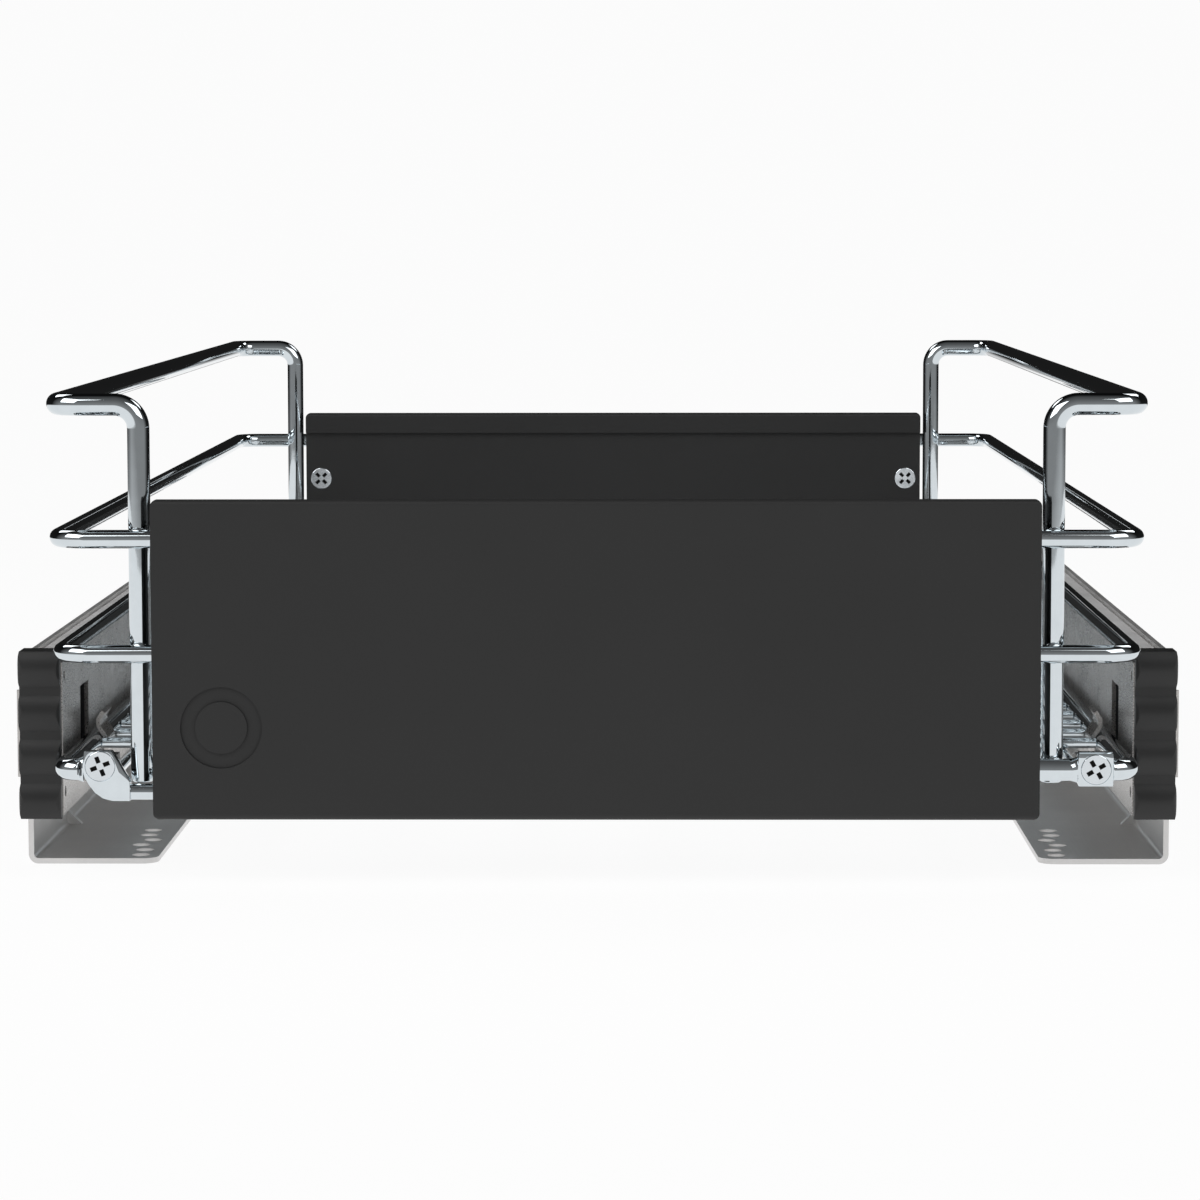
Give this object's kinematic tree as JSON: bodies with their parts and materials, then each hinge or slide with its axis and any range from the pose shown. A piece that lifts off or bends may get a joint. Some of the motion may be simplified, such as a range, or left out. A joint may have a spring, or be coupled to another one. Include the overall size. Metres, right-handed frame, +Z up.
{
  "type": "pull-out wire basket on drawer slides",
  "caption": "Chrome wire pull-out basket with dark front and rear panels, running on side-mounted full-extension ball slides in floor brackets.",
  "frame": {"origin": "bottom centre of the whole object, on the cabinet floor", "axes": "+Z up, +Y along the depth towards the back of the cabinet, so the basket pulls out towards -Y, +X to the right seen from the front"},
  "size_m": [0.3186, 0.506, 0.1321],
  "materials": {
    "chrome_wire": "bright chrome plate",
    "grid_wire": "bright chrome plate over welded wire",
    "panel_paint": "anthracite fine-texture powder coat",
    "bracket_steel": "satin zinc-plated sheet",
    "carrier_steel": "satin zinc-plated sheet",
    "slide_steel": "zinc-plated roll-formed strip",
    "race_steel": "dark phosphated roll-formed strip",
    "cage_steel": "plain stamped strip",
    "ball_steel": "polished bearing steel",
    "stop_rubber": "black rubber",
    "cap_plastic": "dark moulded plastic",
    "clip_plastic": "black moulded plastic",
    "rivet_steel": "zinc-plated",
    "screw_steel": "nickel-plated"
  },
  "bodies": {
    "base": {"bracket_left": "bracket_steel", "bracket_right": "bracket_steel", "outer_rail_left": "slide_steel", "outer_rail_right": "slide_steel", "rail_rivets": "rivet_steel", "rear_stop_left": "stop_rubber", "rear_stop_right": "stop_rubber"},
    "middle_left": {"middle_rail_left": "race_steel"},
    "middle_right": {"middle_rail_right": "race_steel"},
    "outer_cage_left": {"outer_cage_left": "cage_steel", "outer_balls_left": "ball_steel"},
    "outer_cage_right": {"outer_cage_right": "cage_steel", "outer_balls_right": "ball_steel"},
    "inner_cage_left": {"inner_cage_left": "cage_steel", "inner_balls_left": "ball_steel"},
    "inner_cage_right": {"inner_cage_right": "cage_steel", "inner_balls_right": "ball_steel"},
    "basket": {"base_loop": "chrome_wire", "basket_screws": "screw_steel", "carrier_left": "carrier_steel", "carrier_right": "carrier_steel", "carrier_rivets": "rivet_steel", "cross_wires": "grid_wire", "end_cap_left": "cap_plastic", "end_cap_right": "cap_plastic", "front_bar": "chrome_wire", "front_panel": "panel_paint", "front_panel_clips": "clip_plastic", "front_panel_screws": "screw_steel", "inner_rail_left": "race_steel", "inner_rail_right": "race_steel", "lock_block_left": "clip_plastic", "lock_block_right": "clip_plastic", "long_wires": "grid_wire", "low_loop": "chrome_wire", "middle_loop": "chrome_wire", "rear_panel": "panel_paint", "rear_panel_clips": "clip_plastic", "rear_panel_screws": "screw_steel", "top_rail_left": "chrome_wire", "top_rail_right": "chrome_wire"}
  },
  "joints": [
    {"name": "basket_slide", "type": "slide", "parent": "base", "child": "basket", "axis": [0, -1, 0], "range_m": [0, 0.44]},
    {"name": "middle_left_slide", "type": "slide", "parent": "base", "child": "middle_left", "axis": [0, -1, 0], "range_m": [0, 0.22]},
    {"name": "outer_cage_left_slide", "type": "slide", "parent": "base", "child": "outer_cage_left", "axis": [0, -1, 0], "range_m": [0, 0.11]},
    {"name": "inner_cage_left_slide", "type": "slide", "parent": "base", "child": "inner_cage_left", "axis": [0, -1, 0], "range_m": [0, 0.33]},
    {"name": "middle_right_slide", "type": "slide", "parent": "base", "child": "middle_right", "axis": [0, -1, 0], "range_m": [0, 0.22]},
    {"name": "outer_cage_right_slide", "type": "slide", "parent": "base", "child": "outer_cage_right", "axis": [0, -1, 0], "range_m": [0, 0.11]},
    {"name": "inner_cage_right_slide", "type": "slide", "parent": "base", "child": "inner_cage_right", "axis": [0, -1, 0], "range_m": [0, 0.33]}
  ],
  "couplings": [
    {"joint": "middle_left_slide", "follows": "basket_slide", "ratio": 0.5},
    {"joint": "outer_cage_left_slide", "follows": "basket_slide", "ratio": 0.25},
    {"joint": "inner_cage_left_slide", "follows": "basket_slide", "ratio": 0.75},
    {"joint": "middle_right_slide", "follows": "basket_slide", "ratio": 0.5},
    {"joint": "outer_cage_right_slide", "follows": "basket_slide", "ratio": 0.25},
    {"joint": "inner_cage_right_slide", "follows": "basket_slide", "ratio": 0.75}
  ]
}
